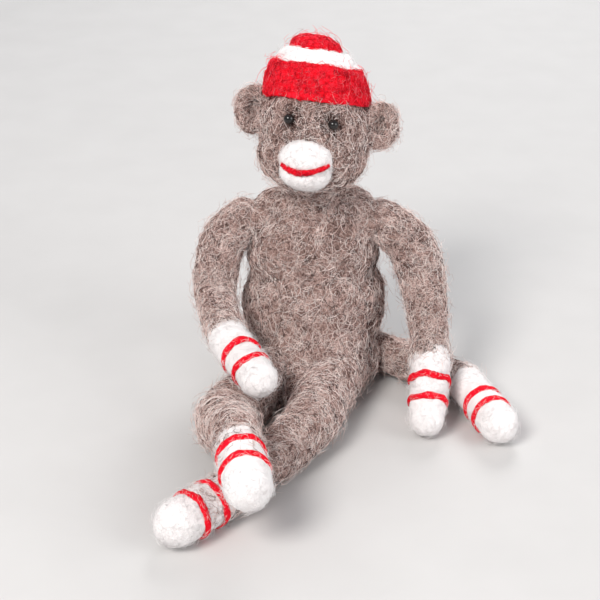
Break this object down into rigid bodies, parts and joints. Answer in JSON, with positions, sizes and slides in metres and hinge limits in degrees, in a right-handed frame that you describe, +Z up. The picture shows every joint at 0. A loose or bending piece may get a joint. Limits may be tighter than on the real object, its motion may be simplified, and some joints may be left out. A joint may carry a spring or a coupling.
{
  "type": "sock monkey doll",
  "caption": "Needle-felted sock monkey in grey wool with white muzzle, hands and feet, red stripes and a banded cap, seated with crossed ankles; bendable at neck, limbs and tail.",
  "frame": {"origin": "middle of the flat seat on the table, between the doll's two sides", "axes": "+Z up, the doll faces -Y, its own left side is at +X"},
  "size_m": [0.0932, 0.1187, 0.0977],
  "materials": {
    "grey_wool": "heathered grey-brown needle-felted wool, fuzzy",
    "white_wool": "white needle-felted wool, fuzzy",
    "red_wool": "bright red needle-felted wool, fuzzy",
    "core_wool": "undyed core wool, felted firm",
    "bead_glass": "glossy black bead",
    "armature_wire": "thin steel wire"
  },
  "bodies": {
    "torso": {"torso_felt": "grey_wool", "torso_core": "core_wool", "torso_wire": "armature_wire"},
    "neck": {"neck_felt": "grey_wool", "neck_wire": "armature_wire"},
    "head": {"head_felt": "grey_wool", "head_core": "core_wool", "muzzle": "white_wool", "mouth": "red_wool", "left_ear": "grey_wool", "right_ear": "grey_wool", "left_eye": "bead_glass", "right_eye": "bead_glass", "cap_brim_band": "red_wool", "cap_white_band": "white_wool", "cap_crown": "red_wool"},
    "left_shoulder": {"left_shoulder_felt": "grey_wool"},
    "left_upper_arm": {"left_upper_arm_felt": "grey_wool", "left_upper_arm_wire": "armature_wire"},
    "left_forearm": {"left_forearm_felt": "grey_wool", "left_forearm_wire": "armature_wire"},
    "left_hand": {"left_hand_felt": "white_wool", "left_hand_wire": "armature_wire", "left_hand_stripes": "red_wool"},
    "right_shoulder": {"right_shoulder_felt": "grey_wool"},
    "right_upper_arm": {"right_upper_arm_felt": "grey_wool", "right_upper_arm_wire": "armature_wire"},
    "right_forearm": {"right_forearm_felt": "grey_wool", "right_forearm_wire": "armature_wire"},
    "right_hand": {"right_hand_felt": "white_wool", "right_hand_wire": "armature_wire", "right_hand_stripes": "red_wool"},
    "left_hip": {"left_hip_felt": "grey_wool"},
    "left_thigh": {"left_thigh_felt": "grey_wool", "left_thigh_wire": "armature_wire"},
    "left_shin": {"left_shin_felt": "grey_wool", "left_shin_wire": "armature_wire"},
    "left_foot": {"left_foot_felt": "white_wool", "left_foot_wire": "armature_wire", "left_foot_stripes": "red_wool"},
    "right_hip": {"right_hip_felt": "grey_wool"},
    "right_thigh": {"right_thigh_felt": "grey_wool", "right_thigh_wire": "armature_wire"},
    "right_shin": {"right_shin_felt": "grey_wool", "right_shin_wire": "armature_wire"},
    "right_foot": {"right_foot_felt": "white_wool", "right_foot_wire": "armature_wire", "right_foot_stripes": "red_wool"},
    "tail_root": {"tail_root_felt": "grey_wool"},
    "tail_base": {"tail_base_felt": "grey_wool", "tail_base_wire": "armature_wire"},
    "tail_middle": {"tail_middle_felt": "grey_wool", "tail_middle_wire": "armature_wire"},
    "tail_tip": {"tail_tip_felt": "white_wool", "tail_tip_wire": "armature_wire", "tail_tip_stripes": "red_wool"}
  },
  "joints": [
    {"name": "neck_turn", "type": "hinge", "parent": "torso", "child": "neck", "pos_m": [0, 0, 0.057], "axis": [0, 0, 1], "range_deg": [-60, 60]},
    {"name": "head_nod", "type": "hinge", "parent": "neck", "child": "head", "pos_m": [0, 0, 0.057], "axis": [1, 0, 0], "range_deg": [-20, 8]},
    {"name": "left_shoulder_swing", "type": "hinge", "parent": "torso", "child": "left_shoulder", "pos_m": [0.0204, 0, 0.0484], "axis": [-1, 0, 0], "range_deg": [-3, 120]},
    {"name": "left_shoulder_lift", "type": "hinge", "parent": "left_shoulder", "child": "left_upper_arm", "pos_m": [0.0204, 0, 0.0484], "axis": [0, -0.8528, 0.5223], "range_deg": [-4, 3]},
    {"name": "left_elbow", "type": "hinge", "parent": "left_upper_arm", "child": "left_forearm", "pos_m": [0.0301, -0.0098, 0.0324], "axis": [0.4459, -0.6171, 0.6483], "range_deg": [-34, 5]},
    {"name": "left_wrist", "type": "hinge", "parent": "left_forearm", "child": "left_hand", "pos_m": [0.0314, -0.0263, 0.0158], "axis": [0.6494, -0.5133, 0.5611], "range_deg": [-60, 20]},
    {"name": "right_shoulder_swing", "type": "hinge", "parent": "torso", "child": "right_shoulder", "pos_m": [-0.0206, 0, 0.0486], "axis": [-1, 0, 0], "range_deg": [0, 120]},
    {"name": "right_shoulder_lift", "type": "hinge", "parent": "right_shoulder", "child": "right_upper_arm", "pos_m": [-0.0206, 0, 0.0486], "axis": [0, 0.8677, -0.4971], "range_deg": [0, 1]},
    {"name": "right_elbow", "type": "hinge", "parent": "right_upper_arm", "child": "right_forearm", "pos_m": [-0.0286, -0.011, 0.0294], "axis": [0.7849, 0.337, -0.5201], "range_deg": [-20, 1]},
    {"name": "right_wrist", "type": "hinge", "parent": "right_forearm", "child": "right_hand", "pos_m": [-0.0244, -0.0285, 0.0244], "axis": [0.407, 0.3399, -0.8478], "range_deg": [-40, 3]},
    {"name": "left_hip_lift", "type": "hinge", "parent": "torso", "child": "left_hip", "pos_m": [0.009, -0.013, 0.009], "axis": [-1, 0, 0], "range_deg": [-58, 0]},
    {"name": "left_hip_spread", "type": "hinge", "parent": "left_hip", "child": "left_thigh", "pos_m": [0.009, -0.013, 0.009], "axis": [0, 0, 1], "range_deg": [0, 34]},
    {"name": "left_knee", "type": "hinge", "parent": "left_thigh", "child": "left_shin", "pos_m": [-0.0025, -0.0485, 0.008], "axis": [0.1006, -0.0046, -0.9949], "range_deg": [-14, 0]},
    {"name": "left_ankle", "type": "hinge", "parent": "left_shin", "child": "left_foot", "pos_m": [-0.0215, -0.075, 0.0062], "axis": [-0.3821, 0.3325, -0.8622], "range_deg": [-60, 60]},
    {"name": "right_hip_lift", "type": "hinge", "parent": "torso", "child": "right_hip", "pos_m": [-0.009, -0.013, 0.009], "axis": [-1, 0, 0], "range_deg": [0, 2]},
    {"name": "right_hip_spread", "type": "hinge", "parent": "right_hip", "child": "right_thigh", "pos_m": [-0.009, -0.013, 0.009], "axis": [0, 0, -1], "range_deg": [0, 17]},
    {"name": "right_knee", "type": "hinge", "parent": "right_thigh", "child": "right_shin", "pos_m": [-0.0243, -0.044, 0.009], "axis": [-0.5517, 0.2723, 0.7883], "range_deg": [-7, 6]},
    {"name": "right_ankle", "type": "hinge", "parent": "right_shin", "child": "right_foot", "pos_m": [-0.02, -0.0735, 0.0222], "axis": [0.9832, 0.1713, 0.0624], "range_deg": [-60, 25]},
    {"name": "tail_swing", "type": "hinge", "parent": "torso", "child": "tail_root", "pos_m": [0.017, -0.003, 0.0063], "axis": [0, 0, 1], "range_deg": [-7, 30]},
    {"name": "tail_lift", "type": "hinge", "parent": "tail_root", "child": "tail_base", "pos_m": [0.017, -0.003, 0.0063], "axis": [-0.6051, -0.7962, 0], "range_deg": [-40, 13]},
    {"name": "tail_middle_bend", "type": "hinge", "parent": "tail_base", "child": "tail_middle", "pos_m": [0.0295, -0.0125, 0.0062], "axis": [0, 0, 1], "range_deg": [-8, 70]},
    {"name": "tail_tip_bend", "type": "hinge", "parent": "tail_middle", "child": "tail_tip", "pos_m": [0.0415, -0.0213, 0.0059], "axis": [0, 0, 1], "range_deg": [-18, 70]}
  ]
}
